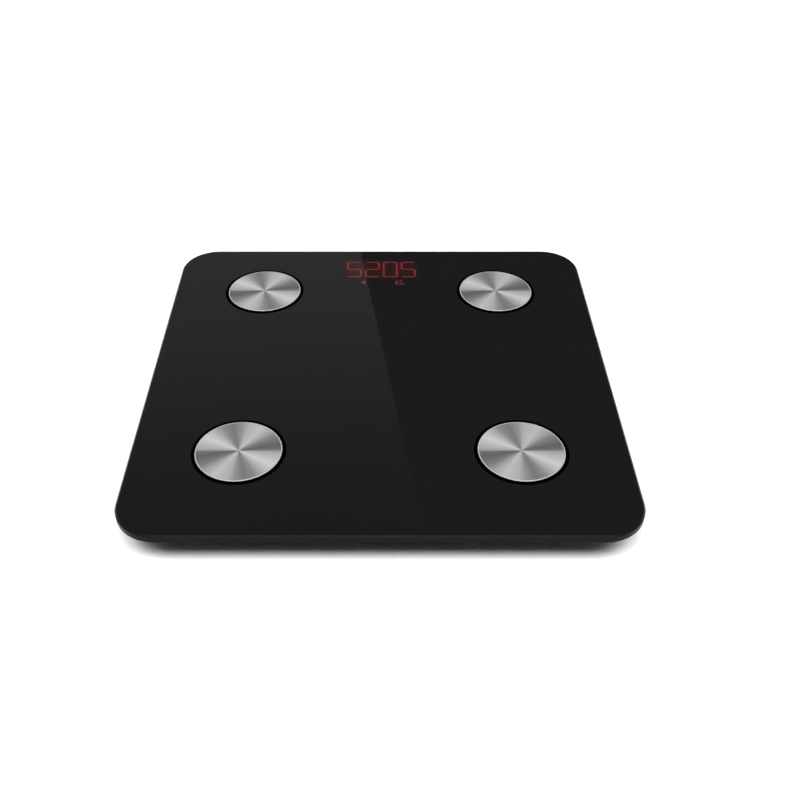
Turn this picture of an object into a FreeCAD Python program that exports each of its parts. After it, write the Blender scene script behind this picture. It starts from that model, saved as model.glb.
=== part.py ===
import FreeCAD, Part
import math
import os
import Sketcher
from FreeCAD import Placement, Rotation, Vector

# A low digital bathroom scale: a square toughened glass platform with four foot electrodes and a
# red number display under its back edge, bonded to a shallow plastic tray. The tray holds the
# circuit board and three cells, and stands on four feet, each of which pushes on a load cell.
#
# Frame: millimetres, +Z up, +Y towards the display, the origin on the floor under the middle.

NO_TURN = Rotation()
DIMENSIONS = {
    # glass platform
    "glass_side": 260,
    "glass_corner": 22.4,
    "glass_bottom": 19,
    "glass_top": 24,
    "glass_bevel": 0.9,
    # black backing film under the glass, and the smoked window in it
    "film_bottom": 18.8,
    "film_inset": 1,
    "window_x": 1.5,
    "window_y": 105.6,
    "window_width": 56,
    "window_depth": 32,
    "window_corner": 2,
    # electrodes, each with a stud through the glass, a bush, a ring terminal and a nut
    "electrode_x": 73.5,
    "electrode_back_y": 80.4,
    "electrode_front_y": -70.4,
    "electrode_radius": 23,
    "electrode_rim": 0.4,
    "seal_radius": 24.7,
    "seal_height": 24.2,
    "electrode_top": 24.6,
    "stud_radius": 1.5,
    "stud_end": 15.8,
    "bush_radius": 3,
    "terminal_radius": 3.2,
    "terminal_bottom": 18.3,
    "terminal_reach": 8.5,
    "nut_radius": 3.1,
    "nut_bottom": 16.1,
    # foam bonding tape
    "tape_width": 2.9,
    "tape_inset": 0.3,
    # base tray
    "tray_bottom": 5,
    "tray_floor": 7,
    "tray_rim": 18,
    "rim_depth": 1,
    "rim_width": 3.4,
    "tray_wall": 2,
    "tray_low_half": 115,
    "tray_high_half": 126.5,
    "tray_low_corner": 12,
    "tray_high_corner": 22,
    # foot pockets under the tray, from the mouth upwards
    "foot_x": 88,
    "foot_y": 88,
    "pocket_outside": 41,
    "pocket_mouth": 36,
    "pocket_groove": 37.4,
    "pocket_seat": 35,
    "pocket_relief": 26,
    "pocket_corner": 4,
    "groove_bottom": 7.5,
    "groove_top": 9.5,
    "relief_top": 13.7,
    "pocket_top": 15.1,
    "post_radius": 10,
    "post_wall": 2,
    # load cells
    "cell_side": 34,
    "cell_corner": 4,
    "cell_bottom": 10,
    "cell_top": 12,
    "tongue_half": 7,
    "slot_width": 2,
    "slot_front": -11,
    "slot_back": 9,
    "seal_width": 12,
    "seal_depth": 6,
    "seal_y": 10,
    "seal_top": 13.4,
    # foot caps and their rubber pads
    "cap_side": 35.2,
    "cap_corner": 3.6,
    "cap_bottom": 2,
    "cap_floor": 4.2,
    "cap_top": 8.6,
    "cap_wall": 1.6,
    "cap_bevel": 0.5,
    "barb_side": 36.6,
    "barb_bottom": 7.9,
    "boss_radius": 5,
    "rib_half": 0.7,
    "rib_top": 7.5,
    "pad_radius": 14.5,
    "pad_edge": 0.6,
    "pad_top": 2.8,
    "pad_fit": 0.1,
    "pad_groove": 0.5,
    # battery bay, its door and the three cells in it
    "bay_half_x": 25.2,
    "bay_half_y": 17,
    "bay_wall": 1.3,
    "bay_ceiling": 17.7,
    "bay_top": 18.5,
    "mouth_half_x": 27.2,
    "mouth_half_y": 19,
    "mouth_wall": 2.6,
    "mouth_top": 9.2,
    "ledge_z": 6.8,
    "door_gap": 0.3,
    "door_top": 6.5,
    "hinge_tab_x": 15,
    "hinge_tab_half": 3,
    "hinge_tab_reach": 1.7,
    "hinge_tab_bottom": 5.9,
    "tab_slot_bottom": 5.7,
    "tab_slot_top": 7.8,
    "tab_slot_reach": 2.2,
    "latch_half": 8,
    "latch_slot": 1,
    "latch_length": 8,
    "finger_scoop": 6,
    "finger_depth": 1.2,
    "cell_pitch": 11,
    "cell_radius": 5.2,
    "cell_length": 43.7,
    "nub_radius": 1.9,
    "nub_length": 0.8,
    "cell_axis_z": 12.3,
    "contact_thick": 0.5,
    "contact_half": 4.2,
    "spring_radius": 2.8,
    "spring_wire": 0.35,
    "spring_turns": 3,
    "spring_steps": 8,
    "spring_gap": 0.08,
    # circuit board, its parts and its screws
    "board_half_x": 46,
    "board_front": 80,
    "board_back": 120.4,
    "board_bottom": 14.4,
    "board_top": 15.6,
    "boss_front_x": 36,
    "boss_front_y": 83.5,
    "boss_back_x": 41,
    "boss_back_y": 111,
    "screw_boss": 2.7,
    "screw_radius": 1,
    "screw_head": 1.9,
    "screw_head_top": 16.8,
    "screw_end": 9,
    "connector_depth": 6,
    "connector_length": 5,
    "connector_height": 3,
    "electrode_plug_y": 90.5,
    "front_plug_y": 90,
    "back_plug_y": 98,
    "plug_height": 2.6,
    # number display
    "display_bottom": 15.6,
    "display_top": 18.3,
    "segment_top": 18.65,
    "display_margin": 1.6,
    "digit_centre_x": 0.8,
    "digit_centre_y": 110.3,
    "digit_pitch": 11.85,
    "digit_width": 9.65,
    "digit_height": 18.8,
    "stroke": 1.1,
    "bar_stroke": 0.8,
    "stroke_gap": 0.25,
    "mark_y": 94.3,
    "arrow_x": -12.5,
    "arrow_length": 2.9,
    "arrow_half": 2.6,
    "unit_x": 10.2,
    "unit_letter": 2.1,
    "unit_pitch": 3,
    "unit_height": 5,
    "unit_stroke": 0.6,
    "unit_gap": 0.2,
    # unit button and its switch
    "button_x": 34,
    "button_y": 99,
    "button_radius": 4,
    "button_bottom": 5.3,
    "button_gap": 0.4,
    "flange_radius": 5.2,
    "flange_bottom": 7.3,
    "flange_top": 8.4,
    "stem_radius": 1.8,
    "stem_top": 10.4,
    "guide_radius": 5.7,
    "guide_wall": 1.2,
    "guide_top": 9.6,
    "switch_side": 6,
    "switch_bottom": 12.2,
    "plunger_radius": 1.7,
    "plunger_bottom": 11.4,
    # blank label under the tray
    "label_y": -62,
    "label_width": 70,
    "label_depth": 30,
    "label_thick": 0.15,
    # wires
    "thin_wire": 0.6,
    "cell_cable": 0.7,
}

CORNERS = ((1, 1), (-1, 1), (-1, -1), (1, -1))
SIDES = (("left", -1), ("right", 1))
ROWS = (("front", -1), ("back", 1))

doc = FreeCAD.newDocument("bathroom_scale")
dims = doc.addObject("Spreadsheet::Sheet", "dims")
for row, (alias, size) in enumerate(DIMENSIONS.items(), start=1):
    dims.set(f"A{row}", str(size))
    dims.setAlias(f"A{row}", alias)
doc.recompute()

kept = []       # the finished pieces, each of which becomes one node


# ---------------------------------------------------------------- sizes and sketches

def size(expression):
    """The number that an expression in the sheet's dimensions stands for."""
    return float(dims.evalExpression(expression))


def bind(target, path, expression):
    """Tie one property to the sheet: every dimension's name gets the sheet's name before it."""
    words = expression.replace("(", " ( ").replace(")", " ) ").split()
    linked = [f"dims.{word}" if word in DIMENSIONS else word for word in words]
    target.setExpression(path, " ".join(linked))


def hold(sketch, kind, references, expression):
    """Add one dimension to a sketch, bound to an expression."""
    index = sketch.addConstraint(Sketcher.Constraint(kind, *references, size(expression)))
    bind(sketch, f"Constraints[{index}]", expression)


def hold_point(sketch, geometry, vertex, x, y):
    """Hold a vertex at x, y from the sketch's origin."""
    hold(sketch, "DistanceX", (-1, 1, geometry, vertex), x)
    hold(sketch, "DistanceY", (-1, 1, geometry, vertex), y)


def circle(x, y, radius):
    """An outline for a sketch: a full circle."""
    def draw(sketch):
        centre = Vector(size(x), size(y), 0)
        ring = sketch.addGeometry(Part.Circle(centre, Vector(0, 0, 1), size(radius)), False)
        hold_point(sketch, ring, 3, x, y)
        hold(sketch, "Radius", (ring,), radius)
    return draw


def polygon(points):
    """An outline for a sketch: straight edges between points."""
    def draw(sketch):
        first = sketch.GeometryCount
        corners = [Vector(size(x), size(y), 0) for x, y in points]
        for start, end in zip(corners, corners[1:] + corners[:1]):
            sketch.addGeometry(Part.LineSegment(start, end), False)
        for step, (x, y) in enumerate(points):
            before = first + (step - 1) % len(points)
            sketch.addConstraint(Sketcher.Constraint("Coincident", before, 2, first + step, 1))
            hold_point(sketch, first + step, 1, x, y)
    return draw


def rectangle(left, right, front, back):
    """An outline for a sketch: a rectangle with square corners."""
    return polygon([(left, front), (right, front), (right, back), (left, back)])


def rounded(x, y, width, depth, radius):
    """An outline for a sketch: a rectangle with its middle at x, y and with round corners."""
    def draw(sketch):
        first = sketch.GeometryCount
        bend = size(radius)
        middle = Vector(size(x), size(y), 0)
        across = size(width) / 2 - bend
        along = size(depth) / 2 - bend
        arcs = []
        for quarter, (side_x, side_y) in enumerate(CORNERS):
            centre = middle + Vector(side_x * across, side_y * along, 0)
            start = quarter * math.pi / 2
            ring = Part.Circle(centre, Vector(0, 0, 1), bend)
            arcs.append(Part.ArcOfCircle(ring, start, start + math.pi / 2))
            sketch.addGeometry(arcs[-1], False)
        for arc, after in zip(arcs, arcs[1:] + arcs[:1]):
            sketch.addGeometry(Part.LineSegment(arc.EndPoint, after.StartPoint), False)
        for quarter, (side_x, side_y) in enumerate(CORNERS):
            line = first + 4 + quarter
            after = first + (quarter + 1) % 4
            sketch.addConstraint(Sketcher.Constraint("Tangent", first + quarter, 2, line, 1))
            sketch.addConstraint(Sketcher.Constraint("Tangent", line, 2, after, 1))
            hold_point(sketch, first + quarter, 3,
                       f"{x} + {side_x} * ( ( {width} ) / 2 - ( {radius} ) )",
                       f"{y} + {side_y} * ( ( {depth} ) / 2 - ( {radius} ) )")
            hold(sketch, "Radius", (first + quarter,), radius)
    return draw


def plane_of(body, role):
    """One of the body's own origin planes or axes."""
    return next(item for item in body.Origin.OriginFeatures if item.Role == role)


def draw_flat(body, outlines, height):
    """A sketch in the body's XY plane, lifted to a height."""
    sketch = body.newObject("Sketcher::SketchObject", "outline")
    sketch.AttachmentSupport = [(plane_of(body, "XY_Plane"), "")]
    sketch.MapMode = "FlatFace"
    sketch.AttachmentOffset = Placement(Vector(0, 0, size(height)), NO_TURN)
    bind(sketch, "AttachmentOffset.Base.z", height)
    for draw in outlines:
        draw(sketch)
    return sketch


# ---------------------------------------------------------------- features of a body

def new_body(label):
    """An empty body, which may hold several separate solids."""
    body = doc.addObject("PartDesign::Body", label)
    body.Label = label
    body.AllowCompound = True
    return body


def keep(piece, label=None):
    """Count a finished piece among the nodes."""
    if label:
        piece.Label = label
    kept.append(piece)
    return piece


def add(body, outlines, bottom, top):
    """Fill the outlines from one height up to another."""
    pad = body.newObject("PartDesign::Pad", "pad")
    pad.Profile = draw_flat(body, outlines, bottom)
    bind(pad, "Length", f"{top} - ( {bottom} )")
    return pad


def cut(body, outlines, bottom, top):
    """Remove the outlines from one height up to another."""
    pocket = body.newObject("PartDesign::Pocket", "pocket")
    pocket.Profile = draw_flat(body, outlines, bottom)
    pocket.Reversed = True
    bind(pocket, "Length", f"{top} - ( {bottom} )")
    return pocket


def loft(body, kind, low, low_height, high, high_height):
    """A straight-sided loft from a low outline to a high one: AdditiveLoft or SubtractiveLoft."""
    feature = body.newObject(f"PartDesign::{kind}", "loft")
    feature.Profile = draw_flat(body, [low], low_height)
    feature.Sections = [draw_flat(body, [high], high_height)]
    feature.Ruled = True
    return feature


def turn(body, profile):
    """Turn an outline of (radius, height) points about the body's Z axis."""
    sketch = body.newObject("Sketcher::SketchObject", "profile")
    sketch.AttachmentSupport = [(plane_of(body, "XZ_Plane"), "")]
    sketch.MapMode = "FlatFace"
    polygon(profile)(sketch)
    revolution = body.newObject("PartDesign::Revolution", "turned")
    revolution.Profile = sketch
    revolution.ReferenceAxis = (sketch, ["V_Axis"])
    revolution.Angle = 360
    return revolution


def bevel(body, feature, levels, width):
    """Chamfer the edges that lie flat at any of the levels."""
    doc.recompute()
    heights = [size(level) for level in levels]
    names = [f"Edge{number}" for number, edge in enumerate(feature.Shape.Edges, start=1)
             if any(all(abs(end.Point.z - height) < 0.01 for end in edge.Vertexes)
                    for height in heights)]
    chamfer = body.newObject("PartDesign::Chamfer", "bevel")
    chamfer.Base = (feature, names)
    bind(chamfer, "Size", width)
    doc.recompute()


def place(piece, x, y, z="0", turned=NO_TURN):
    """Stand a piece at x, y, z, bound to the sheet."""
    piece.Placement = Placement(Vector(size(x), size(y), size(z)), turned)
    for axis, expression in (("x", x), ("y", y), ("z", z)):
        bind(piece, f"Placement.Base.{axis}", expression)
    return piece


def group(label, pieces):
    """Several separate solids that make one node."""
    compound = doc.addObject("Part::Compound", label)
    compound.Links = pieces
    return keep(compound, label)


def shape_piece(label, shape):
    """A piece whose shape is made directly, for coils, wires and display segments."""
    piece = doc.addObject("Part::Feature", label)
    piece.Shape = shape
    piece.Placement = Placement()
    return keep(piece, label)


def times(sign, expression):
    """An expression with a sign before it."""
    return f"{sign} * {expression}"


def electrode_places():
    """Each electrode's name, side and place."""
    for row, _ in ROWS:
        for side, sign in SIDES:
            yield f"{row}_{side}", sign, times(sign, "electrode_x"), f"electrode_{row}_y"


def foot_places():
    """Each foot's name, side and place."""
    for row, row_sign in ROWS:
        for side, sign in SIDES:
            yield f"{row}_{side}", sign, times(sign, "foot_x"), times(row_sign, "foot_y")


# ---------------------------------------------------------------- platform

def make_glass():
    body = new_body("glass_platform")
    plate = add(body, [rounded("0", "0", "glass_side", "glass_side", "glass_corner")],
                "glass_bottom", "glass_top")
    bevel(body, plate, ("glass_bottom", "glass_top"), "glass_bevel")
    cut(body, [circle(x, y, "bush_radius") for _, _, x, y in electrode_places()],
        "glass_bottom - 1", "glass_top + 1")
    keep(body)


def make_film():
    """The black film hides the tray; its window is filled by a smoked one."""
    body = new_body("backing_film")
    side = "glass_side - 2 * film_inset"
    window = rounded("window_x", "window_y", "window_width", "window_depth", "window_corner")
    holes = [circle(x, y, "terminal_radius + 0.8") for _, _, x, y in electrode_places()]
    add(body, [rounded("0", "0", side, side, "glass_corner - film_inset"), window] + holes,
        "film_bottom", "glass_bottom")
    keep(body)
    smoked = new_body("display_filter")
    add(smoked, [rounded("window_x", "window_y", "window_width - 0.1", "window_depth - 0.1",
                         "window_corner")],
        "film_bottom", "glass_bottom")
    keep(smoked)


def make_electrodes():
    for name, _, x, y in electrode_places():
        body = new_body(f"electrode_{name}")
        turn(body, [("0", "stud_end"), ("stud_radius", "stud_end"), ("stud_radius", "glass_top"),
                    ("electrode_radius", "glass_top"),
                    ("electrode_radius", "electrode_top - electrode_rim"),
                    ("electrode_radius - electrode_rim", "electrode_top"), ("0", "electrode_top")])
        keep(place(body, x, y))


def make_electrode_seals():
    """A black bead on the glass round every electrode."""
    seals = []
    for name, _, x, y in electrode_places():
        seal = new_body(f"seal_{name}")
        add(seal, [circle("0", "0", "seal_radius"), circle("0", "0", "electrode_radius")],
            "glass_top", "seal_height")
        seals.append(place(seal, x, y))
    group("electrode_seals", seals)


def make_electrode_fixings():
    """A soft bush in each hole in the glass, and a ring terminal and a nut on each stud."""
    bushes = new_body("electrode_bushes")
    rings = []
    for _, _, x, y in electrode_places():
        rings += [circle(x, y, "bush_radius - 0.05"), circle(x, y, "stud_radius + 0.05")]
    add(bushes, rings, "glass_bottom", "glass_top")
    keep(bushes)

    terminals = []
    nuts = []
    for name, sign, x, y in electrode_places():
        terminal = new_body(f"terminal_{name}")
        add(terminal, [circle("0", "0", "terminal_radius"), circle("0", "0", "stud_radius + 0.1")],
            "terminal_bottom", "film_bottom")
        add(terminal, [rectangle("terminal_radius - 0.4", "terminal_reach", "-1", "1")],
            "terminal_bottom", "film_bottom")
        add(terminal, [rectangle("terminal_reach - 3", "terminal_reach", "-1", "1")],
            "terminal_bottom - 1.4", "terminal_bottom")
        inwards = Rotation(Vector(0, 0, 1), 180 if sign > 0 else 0)
        terminals.append(place(terminal, x, y, "0", inwards))

        blank = doc.addObject("Part::Prism", "nut_blank")
        blank.Polygon = 6
        bind(blank, "Circumradius", "nut_radius")
        bind(blank, "Height", "terminal_bottom - nut_bottom")
        bore = doc.addObject("Part::Cylinder", "nut_bore")
        bind(bore, "Radius", "stud_radius + 0.1")
        bind(bore, "Height", "terminal_bottom - nut_bottom")
        nut = doc.addObject("Part::Cut", f"nut_{name}")
        nut.Base = blank
        nut.Tool = bore
        nuts.append(place(nut, x, y, "nut_bottom"))
    group("electrode_terminals", terminals)
    group("electrode_nuts", nuts)


def make_tape():
    """Foam tape on the tray's rim and on the four posts over the feet."""
    body = new_body("bonding_tape")
    outside = "2 * ( tray_high_half - tape_inset )"
    inside = "2 * ( tray_high_half - tape_inset - tape_width )"
    rings = [rounded("0", "0", outside, outside, "tray_high_corner - tape_inset"),
             rounded("0", "0", inside, inside, "tray_high_corner - tape_inset - tape_width")]
    for _, _, x, y in foot_places():
        rings += [circle(x, y, "post_radius - 0.1"), circle(x, y, "post_radius - post_wall + 0.1")]
    add(body, rings, "tray_rim", "film_bottom")
    keep(body)


# ---------------------------------------------------------------- base tray

def screw_places():
    """The four board screws."""
    for _, sign in SIDES:
        yield times(sign, "boss_front_x"), "boss_front_y"
        yield times(sign, "boss_back_x"), "boss_back_y"


def hollow_tray(body):
    """A dish with sides that slope in towards the floor, and a flat rim for the tape."""
    low = "2 * tray_low_half"
    high = "2 * tray_high_half"
    loft(body, "AdditiveLoft", rounded("0", "0", low, low, "tray_low_corner"), "tray_bottom",
         rounded("0", "0", high, high, "tray_high_corner"), "tray_rim")
    slope = "( tray_high_half - tray_low_half ) / ( tray_rim - tray_bottom )"
    inner_low = f"2 * ( tray_low_half - tray_wall + ( tray_floor - tray_bottom ) * {slope} )"
    inner_high = f"2 * ( tray_high_half - tray_wall - rim_depth * {slope} )"
    loft(body, "SubtractiveLoft",
         rounded("0", "0", inner_low, inner_low, "tray_low_corner - 1"), "tray_floor",
         rounded("0", "0", inner_high, inner_high, "tray_high_corner - tray_wall"),
         "tray_rim - rim_depth")
    opening = "2 * ( tray_high_half - rim_width )"
    cut(body, [rounded("0", "0", opening, opening, "tray_high_corner - rim_width")],
        "tray_rim - rim_depth", "tray_rim + 1")


def add_tray_blocks(body):
    """Foot pockets, posts, the battery bay, screw bosses and the button's guide."""
    blocks = [rounded(x, y, "pocket_outside", "pocket_outside", "pocket_corner + 2")
              for _, _, x, y in foot_places()]
    add(body, blocks, "tray_bottom + 1", "pocket_top")
    posts = []
    for _, _, x, y in foot_places():
        posts += [circle(x, y, "post_radius"), circle(x, y, "post_radius - post_wall")]
    add(body, posts, "pocket_top", "tray_rim")
    add(body, [rounded("0", "0", "2 * ( mouth_half_x + mouth_wall )",
                       "2 * ( mouth_half_y + mouth_wall )", "2")],
        "tray_bottom + 1", "mouth_top")
    add(body, [rounded("0", "0", "2 * ( bay_half_x + bay_wall )",
                       "2 * ( bay_half_y + bay_wall )", "1.5")],
        "mouth_top", "bay_top")
    add(body, [circle(x, y, "screw_boss") for x, y in screw_places()],
        "tray_bottom + 1", "board_bottom")
    add(body, [circle("button_x", "button_y", "guide_radius + guide_wall")],
        "tray_bottom + 1", "guide_top")


def cut_foot_pockets(body):
    """Each pocket is stepped: mouth, groove for the cap's barb, seat for the load cell, relief."""
    steps = (("pocket_mouth", "pocket_corner", "tray_bottom - 1", "groove_bottom"),
             ("pocket_groove", "pocket_corner + 0.7", "groove_bottom", "groove_top"),
             ("pocket_seat", "pocket_corner + 0.5", "groove_top", "cell_top"),
             ("pocket_relief", "pocket_corner", "cell_top", "relief_top"))
    for side, corner, bottom, top in steps:
        cut(body, [rounded(x, y, side, side, corner) for _, _, x, y in foot_places()], bottom, top)
    channels = []
    for _, sign, x, y in foot_places():
        near = f"{x} - {sign} * ( pocket_relief / 2 - 1 )"
        far = f"{x} - {sign} * ( pocket_outside / 2 + 1 )"
        left, right = (far, near) if sign > 0 else (near, far)
        channels.append(rectangle(left, right, f"{y} + seal_y - 1.3", f"{y} + seal_y + 1.3"))
    cut(body, channels, "cell_top", "relief_top + 0.3")


def cut_battery_bay(body):
    """The bay opens downwards; its door sits in a mouth with a ledge, tab slots and a scoop."""
    cut(body, [rounded("0", "0", "2 * mouth_half_x", "2 * mouth_half_y", "1.5")],
        "tray_bottom - 1", "ledge_z")
    cut(body, [rounded("0", "0", "2 * bay_half_x", "2 * bay_half_y", "0.8")],
        "ledge_z", "bay_ceiling")
    slots = []
    for _, sign in SIDES:
        middle = times(sign, "hinge_tab_x")
        slots.append(rectangle(f"{middle} - hinge_tab_half - 0.4", f"{middle} + hinge_tab_half + 0.4",
                               "0 - mouth_half_y - tab_slot_reach", "0 - bay_half_y"))
    cut(body, slots, "tab_slot_bottom", "tab_slot_top")
    cut(body, [circle("0", "mouth_half_y", "finger_scoop")],
        "tray_bottom - 1", "tray_bottom + finger_depth")


def cut_small_holes(body):
    """Screw holes in the bosses, and the button's hole and guide."""
    cut(body, [circle(x, y, "screw_radius + 0.05") for x, y in screw_places()],
        "screw_end - 0.5", "board_bottom + 1")
    cut(body, [circle("button_x", "button_y", "button_radius + button_gap")],
        "tray_bottom - 1", "tray_floor")
    cut(body, [circle("button_x", "button_y", "guide_radius")], "tray_floor", "guide_top + 1")


def make_tray():
    body = new_body("base_tray")
    hollow_tray(body)
    add_tray_blocks(body)
    cut_foot_pockets(body)
    cut_battery_bay(body)
    cut_small_holes(body)
    keep(body)


def make_label():
    body = new_body("rating_label")
    add(body, [rounded("0", "label_y", "label_width", "label_depth", "2")],
        "tray_bottom - label_thick", "tray_bottom")
    keep(body)


# ---------------------------------------------------------------- feet and load cells

def make_load_cell(name, x, y):
    """A steel square with a U-shaped slot, which leaves a tongue that the foot bends."""
    body = new_body(f"load_cell_{name}")
    outer = "tongue_half + slot_width"
    slot = polygon([(f"0 - ( {outer} )", "slot_back"), (f"0 - ( {outer} )", "slot_front"),
                    (outer, "slot_front"), (outer, "slot_back"),
                    ("tongue_half", "slot_back"), ("tongue_half", "slot_front + slot_width"),
                    ("0 - tongue_half", "slot_front + slot_width"), ("0 - tongue_half", "slot_back")])
    add(body, [rounded("0", "0", "cell_side", "cell_side", "cell_corner"), slot],
        "cell_bottom", "cell_top")
    keep(place(body, x, y))


def make_foot_cap(name, x, y):
    """A square cup with a barb round its top and a boss that meets the load cell's tongue."""
    body = new_body(f"foot_cap_{name}")
    block = add(body, [rounded("0", "0", "cap_side", "cap_side", "cap_corner")],
                "cap_bottom", "cap_top")
    bevel(body, block, ("cap_bottom",), "cap_bevel")
    add(body, [rounded("0", "0", "barb_side", "barb_side", "cap_corner + 0.7")],
        "barb_bottom", "cap_top")
    inside = "cap_side - 2 * cap_wall"
    cut(body, [rounded("0", "0", inside, inside, "cap_corner - cap_wall")],
        "cap_floor", "cap_top + 1")
    cut(body, [circle("0", "0", "pad_radius + pad_fit")], "cap_bottom - 1", "pad_top")
    reach = f"( {inside} ) / 2 + 0.2"
    add(body, [rectangle(f"0 - {reach}", reach, "0 - rib_half", "rib_half")], "cap_floor", "rib_top")
    add(body, [rectangle("0 - rib_half", "rib_half", f"0 - {reach}", reach)], "cap_floor", "rib_top")
    add(body, [circle("0", "0", "boss_radius")], "cap_floor", "cell_bottom")
    keep(place(body, x, y))


def make_foot_pad(name, x, y):
    """A rubber disc with a soft edge and two grip grooves."""
    body = new_body(f"foot_pad_{name}")
    turn(body, [("0", "0"), ("pad_radius - pad_edge", "0"), ("pad_radius", "pad_edge"),
                ("pad_radius", "pad_top"), ("0", "pad_top")])
    grooves = []
    for middle in ("8", "11"):
        grooves += [circle("0", "0", f"{middle} + pad_groove"), circle("0", "0", middle)]
    cut(body, grooves, "0 - 1", "pad_groove")
    keep(place(body, x, y))


def make_feet():
    seals = new_body("gauge_seals")
    add(seals, [rounded(x, f"{y} + seal_y", "seal_width", "seal_depth", "2")
                for _, _, x, y in foot_places()], "cell_top", "seal_top")
    keep(seals)
    for name, _, x, y in foot_places():
        make_load_cell(name, x, y)
        make_foot_cap(name, x, y)
        make_foot_pad(name, x, y)


# ---------------------------------------------------------------- batteries

def make_door():
    """A flat door with two hinge tabs, a springy latch tongue between slots, and grip ribs."""
    body = new_body("battery_door")
    add(body, [rounded("0", "0", "2 * ( mouth_half_x - door_gap )",
                       "2 * ( mouth_half_y - door_gap )", "1.2")],
        "tray_bottom", "door_top")
    tabs = []
    for _, sign in SIDES:
        middle = times(sign, "hinge_tab_x")
        tabs.append(rectangle(f"{middle} - hinge_tab_half", f"{middle} + hinge_tab_half",
                              "0 - mouth_half_y - hinge_tab_reach", "2 - mouth_half_y"))
    add(body, tabs, "hinge_tab_bottom", "door_top")
    slots = []
    for _, sign in SIDES:
        edges = (times(sign, "latch_half"), f"{sign} * ( latch_half + latch_slot )")
        left, right = edges if sign > 0 else edges[::-1]
        slots.append(rectangle(left, right, "mouth_half_y - latch_length", "mouth_half_y + 1"))
    cut(body, slots, "tray_bottom - 1", "door_top + 1")
    ribs = []
    for step in range(4):
        front = f"mouth_half_y - 2.5 - {step} * 1.6"
        ribs.append(rectangle("2 - latch_half", "latch_half - 2", f"{front} - 0.7", front))
    add(body, ribs, "tray_bottom - 0.3", "tray_bottom + 0.2")
    keep(body)


def make_cells():
    """Three cylindrical cells side by side, the middle one the other way round."""
    for step in range(3):
        body = new_body(f"battery_cell_{step + 1}")
        turn(body, [("0", "0"), ("cell_radius - 0.5", "0"), ("cell_radius", "0.5"),
                    ("cell_radius", "cell_length - 0.6"), ("cell_radius - 0.6", "cell_length"),
                    ("nub_radius", "cell_length"), ("nub_radius", "cell_length + nub_length"),
                    ("0", "cell_length + nub_length")])
        direction = 1 if step != 1 else -1
        along = Rotation(Vector(0, 1, 0), 90 * direction)
        start = f"{direction} * ( bay_half_x - contact_thick - cell_length - nub_length )"
        keep(place(body, start, f"{step - 1} * cell_pitch", "cell_axis_z", along))


def make_contacts():
    """A flat plate behind every cell end, against the bay's walls."""
    body = new_body("battery_contacts")
    plates = []
    for step in range(3):
        middle = f"{step - 1} * cell_pitch"
        for left, right in (("bay_half_x - contact_thick", "bay_half_x"),
                            ("0 - bay_half_x", "contact_thick - bay_half_x")):
            plates.append(rectangle(left, right, f"{middle} - contact_half", f"{middle} + contact_half"))
    add(body, plates, "cell_axis_z - contact_half", "cell_axis_z + contact_half")
    keep(body)


# ---------------------------------------------------------------- electronics

def make_board():
    body = new_body("main_board")
    holes = [circle(x, y, "screw_radius + 0.2") for x, y in screw_places()]
    add(body, [rectangle("0 - board_half_x", "board_half_x", "board_front", "board_back")] + holes,
        "board_bottom", "board_top")
    keep(body)
    screws = []
    for x, y in screw_places():
        screw = new_body("board_screw")
        turn(screw, [("0", "screw_end"), ("screw_radius", "screw_end"), ("screw_radius", "board_top"),
                     ("screw_head", "board_top"), ("screw_head", "screw_head_top - 0.3"),
                     ("screw_head - 0.4", "screw_head_top"), ("0", "screw_head_top")])
        screws.append(place(screw, x, y))
    group("board_screws", screws)


def make_board_parts():
    """The controller, the radio can, small parts and the sockets for the wires."""
    chip = new_body("controller_chip")
    add(chip, [rectangle("0 - 20", "0 - 10", "97", "107")], "board_bottom - 1.6", "board_bottom")
    keep(chip)
    radio = new_body("radio_module")
    add(radio, [rounded("14", "100", "14", "12", "0.8")], "board_bottom - 2.2", "board_bottom")
    keep(radio)
    small = new_body("board_parts")
    chips = [rectangle(f"0 - 34 + {step} * 5", f"0 - 32 + {step} * 5", "108", "109.2")
             for step in range(12) if step not in (4, 5)]
    add(small, chips, "board_bottom - 0.8", "board_bottom")
    add(small, [circle("0 - 28", "101", "2.5"), circle("0", "94", "2.5")],
        "board_bottom - 3.5", "board_bottom")
    keep(small)

    sockets = new_body("wire_sockets")
    low = []
    high = []
    for _, sign in SIDES:
        edges = (f"{sign} * ( board_half_x - connector_length )", times(sign, "board_half_x"))
        left, right = edges if sign > 0 else edges[::-1]
        for middle in ("front_plug_y", "back_plug_y"):
            low.append(rectangle(left, right, f"{middle} - connector_depth / 2",
                                 f"{middle} + connector_depth / 2"))
        high.append(rectangle(left, right, "electrode_plug_y - connector_depth / 2",
                              "electrode_plug_y + connector_depth / 2"))
    low.append(rectangle("0 - 4", "4", "board_front", "board_front + connector_length"))
    add(sockets, low, "board_bottom - connector_height", "board_bottom")
    add(sockets, high, "board_top", "board_top + plug_height")
    keep(sockets)


# ---------------------------------------------------------------- number display

# Each segment's ends on a digit one unit wide and two high, from its lower left corner.
SEGMENTS = {
    "top": ((0, 2), (1, 2)),
    "upper_right": ((1, 2), (1, 1)),
    "lower_right": ((1, 1), (1, 0)),
    "bottom": ((0, 0), (1, 0)),
    "lower_left": ((0, 1), (0, 0)),
    "upper_left": ((0, 2), (0, 1)),
    "middle": ((0, 1), (1, 1)),
}
LIT = {
    "5": ("top", "upper_left", "middle", "lower_right", "bottom"),
    "2": ("top", "upper_right", "middle", "lower_left", "bottom"),
    "0": ("top", "upper_right", "lower_right", "bottom", "lower_left", "upper_left"),
}
READING = "5205"


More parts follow.
